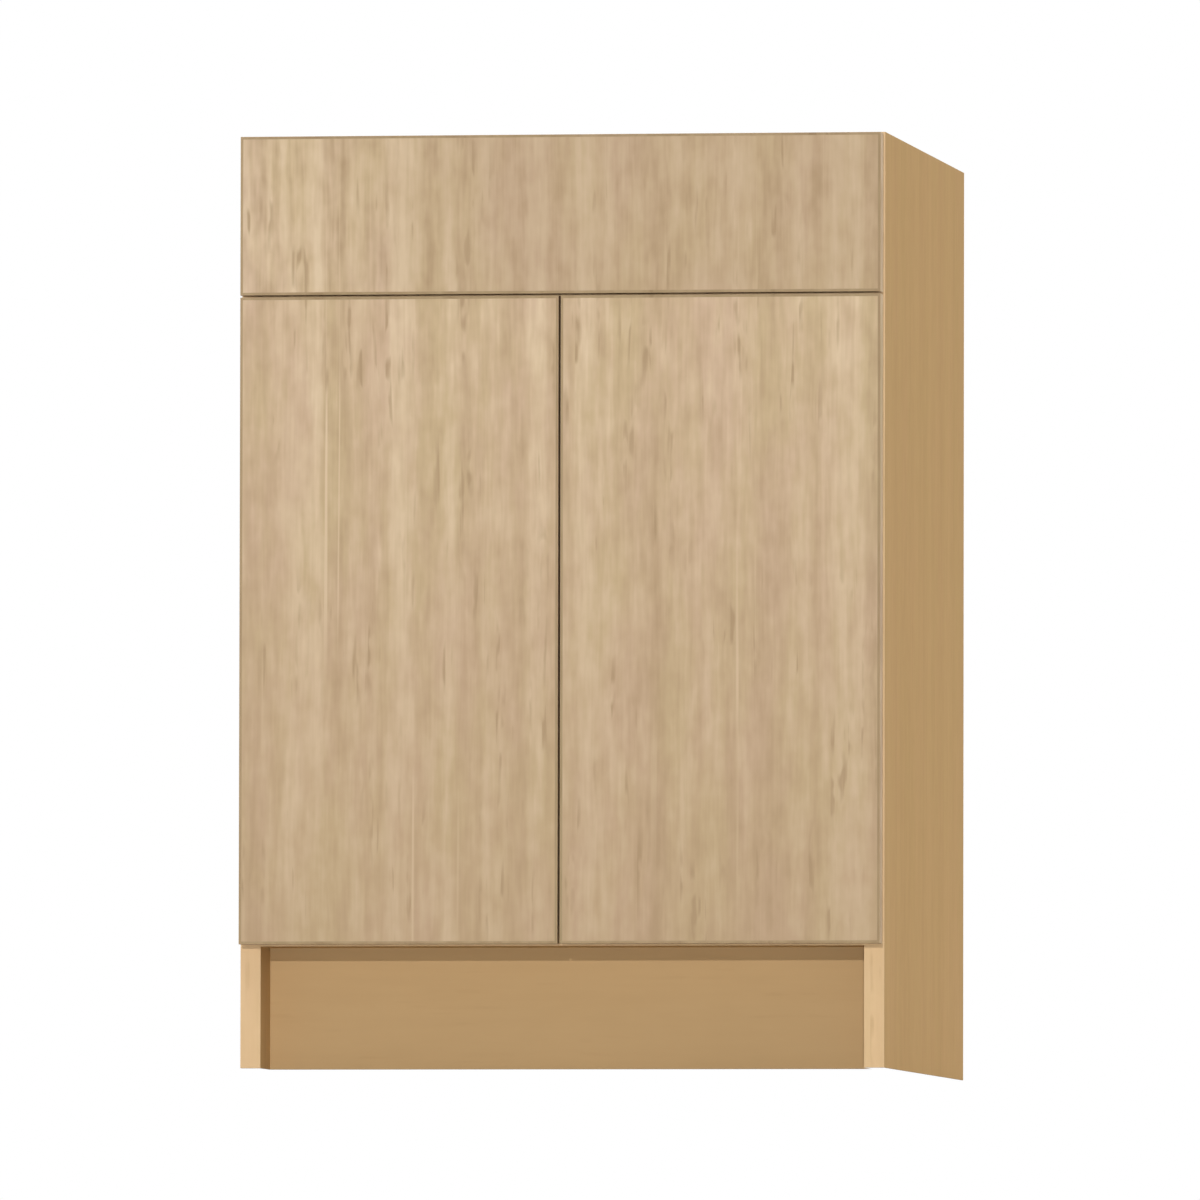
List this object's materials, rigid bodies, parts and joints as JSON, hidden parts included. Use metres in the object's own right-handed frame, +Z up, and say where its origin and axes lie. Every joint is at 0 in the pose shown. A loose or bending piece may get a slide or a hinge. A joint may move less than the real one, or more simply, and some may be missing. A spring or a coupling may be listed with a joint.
{
  "type": "door and drawer base cabinet",
  "caption": "Frameless kitchen base cabinet with a drawer on ball-bearing slides over a pair of doors on cup hinges, and a set-back toe board.",
  "frame": {"origin": "on the floor, in the middle of the width and of the depth", "axes": "+Z up, the doors face -Y, the wall is at +Y, +X is the right side seen from the front"},
  "size_m": [0.6096, 0.6096, 0.8763],
  "materials": {
    "front_laminate": "light wood-grain laminate, matt",
    "edge_band": "thick edge band, a little darker than the laminate",
    "carcass_edge_band": "thin edge band on the carcass",
    "carcass_board": "tan veneered board, matt",
    "shelf_board": "tan veneered board, matt",
    "thin_board": "thin plywood, matt",
    "drawer_wood": "clear-lacquered solid wood",
    "dowel_wood": "plain beech",
    "zinc_steel": "zinc-plated sheet",
    "nickel_steel": "nickel-plated",
    "screw_steel": "zinc-plated",
    "cage_metal": "bright steel",
    "grey_plastic": "moulded, matt",
    "white_plastic": "moulded, matt"
  },
  "bodies": {
    "carcass": {"left_side_panel": "carcass_board", "right_side_panel": "carcass_board", "bottom_panel": "carcass_board", "back_panel": "thin_board", "top_front_rail": "carcass_board", "top_back_rail": "carcass_board", "middle_rail": "carcass_board", "toe_kick_board": "carcass_board", "top_nailer": "carcass_board", "bottom_nailer": "carcass_board", "shelf": "shelf_board", "shelf_pins": "screw_steel", "carcass_edge_bands": "carcass_edge_band", "cam_fittings": "nickel_steel", "cam_bolts": "screw_steel", "dowels": "dowel_wood", "left_hinge_plates": "nickel_steel", "right_hinge_plates": "nickel_steel", "left_hinge_arms": "nickel_steel", "right_hinge_arms": "nickel_steel", "hinge_arm_pins": "nickel_steel", "carcass_screws": "screw_steel", "left_slide_cabinet_member": "zinc_steel", "right_slide_cabinet_member": "zinc_steel", "latch_housings": "grey_plastic"},
    "left_door": {"left_door": "front_laminate", "left_door_edge_bands": "edge_band", "left_hinge_cups": "nickel_steel", "left_cup_pins": "screw_steel", "left_cup_screws": "screw_steel", "left_strike_plate": "screw_steel"},
    "left_outer_links": {"left_outer_links": "nickel_steel"},
    "left_inner_links": {"left_inner_links": "nickel_steel"},
    "left_latch_plunger": {"left_latch_plunger": "white_plastic"},
    "right_door": {"right_door": "front_laminate", "right_door_edge_bands": "edge_band", "right_hinge_cups": "nickel_steel", "right_cup_pins": "screw_steel", "right_cup_screws": "screw_steel", "right_strike_plate": "screw_steel"},
    "right_outer_links": {"right_outer_links": "nickel_steel"},
    "right_inner_links": {"right_inner_links": "nickel_steel"},
    "right_latch_plunger": {"right_latch_plunger": "white_plastic"},
    "drawer": {"drawer_front": "front_laminate", "drawer_front_edge_bands": "edge_band", "drawer_box_front": "drawer_wood", "drawer_box_back": "drawer_wood", "drawer_left_side": "drawer_wood", "drawer_right_side": "drawer_wood", "drawer_bottom": "thin_board", "drawer_front_screws": "screw_steel", "left_slide_drawer_member": "zinc_steel", "right_slide_drawer_member": "zinc_steel", "drawer_slide_screws": "screw_steel"},
    "slide_middle_members": {"left_slide_middle_member": "zinc_steel", "right_slide_middle_member": "zinc_steel"},
    "slide_outer_ball_cages": {"slide_outer_ball_cages": "cage_metal"},
    "slide_inner_ball_cages": {"slide_inner_ball_cages": "cage_metal"},
    "drawer_latch_plunger": {"drawer_latch_plunger": "white_plastic"}
  },
  "joints": [
    {"name": "left_outer_links_turn", "type": "hinge", "parent": "carcass", "child": "left_outer_links", "pos_m": [-0.2763, -0.2693, 0.4188], "axis": [0, 0, -1], "range_deg": [-17, 0]},
    {"name": "left_door_swing", "type": "hinge", "parent": "left_outer_links", "child": "left_door", "pos_m": [-0.2948, -0.2943, 0.4188], "axis": [0, 0, -1], "range_deg": [0, 117]},
    {"name": "left_inner_links_turn", "type": "hinge", "parent": "left_door", "child": "left_inner_links", "pos_m": [-0.2938, -0.2884, 0.4188], "axis": [0, 0, -1], "range_deg": [-133.5, 0]},
    {"name": "left_plunger_slide", "type": "slide", "parent": "carcass", "child": "left_latch_plunger", "axis": [0, -1, 0], "range_m": [0, 0.037]},
    {"name": "right_outer_links_turn", "type": "hinge", "parent": "carcass", "child": "right_outer_links", "pos_m": [0.2763, -0.2693, 0.4188], "axis": [0, 0, 1], "range_deg": [-17, 0]},
    {"name": "right_door_swing", "type": "hinge", "parent": "right_outer_links", "child": "right_door", "pos_m": [0.2948, -0.2943, 0.4188], "axis": [0, 0, 1], "range_deg": [0, 117]},
    {"name": "right_inner_links_turn", "type": "hinge", "parent": "right_door", "child": "right_inner_links", "pos_m": [0.2938, -0.2884, 0.4188], "axis": [0, 0, 1], "range_deg": [-133.5, 0]},
    {"name": "right_plunger_slide", "type": "slide", "parent": "carcass", "child": "right_latch_plunger", "axis": [0, -1, 0], "range_m": [0, 0.037]},
    {"name": "drawer_slide", "type": "slide", "parent": "carcass", "child": "drawer", "axis": [0, -1, 0], "range_m": [0, 0.5]},
    {"name": "middle_members_slide", "type": "slide", "parent": "carcass", "child": "slide_middle_members", "axis": [0, -1, 0], "range_m": [0, 0.25]},
    {"name": "outer_cages_slide", "type": "slide", "parent": "carcass", "child": "slide_outer_ball_cages", "axis": [0, -1, 0], "range_m": [0, 0.125]},
    {"name": "inner_cages_slide", "type": "slide", "parent": "carcass", "child": "slide_inner_ball_cages", "axis": [0, -1, 0], "range_m": [0, 0.375]},
    {"name": "drawer_plunger_slide", "type": "slide", "parent": "carcass", "child": "drawer_latch_plunger", "axis": [0, -1, 0], "range_m": [0, 0.037]}
  ],
  "couplings": [
    {"joint": "left_outer_links_turn", "follows": "left_door_swing", "ratio": -0.145},
    {"joint": "left_inner_links_turn", "follows": "left_door_swing", "ratio": -1.141},
    {"joint": "left_plunger_slide", "follows": "left_door_swing", "m_per_rad": 0.018},
    {"joint": "right_outer_links_turn", "follows": "right_door_swing", "ratio": -0.145},
    {"joint": "right_inner_links_turn", "follows": "right_door_swing", "ratio": -1.141},
    {"joint": "right_plunger_slide", "follows": "right_door_swing", "m_per_rad": 0.018},
    {"joint": "middle_members_slide", "follows": "drawer_slide", "ratio": 0.5},
    {"joint": "outer_cages_slide", "follows": "drawer_slide", "ratio": 0.25},
    {"joint": "inner_cages_slide", "follows": "drawer_slide", "ratio": 0.75},
    {"joint": "drawer_plunger_slide", "follows": "drawer_slide", "ratio": 0.074}
  ]
}
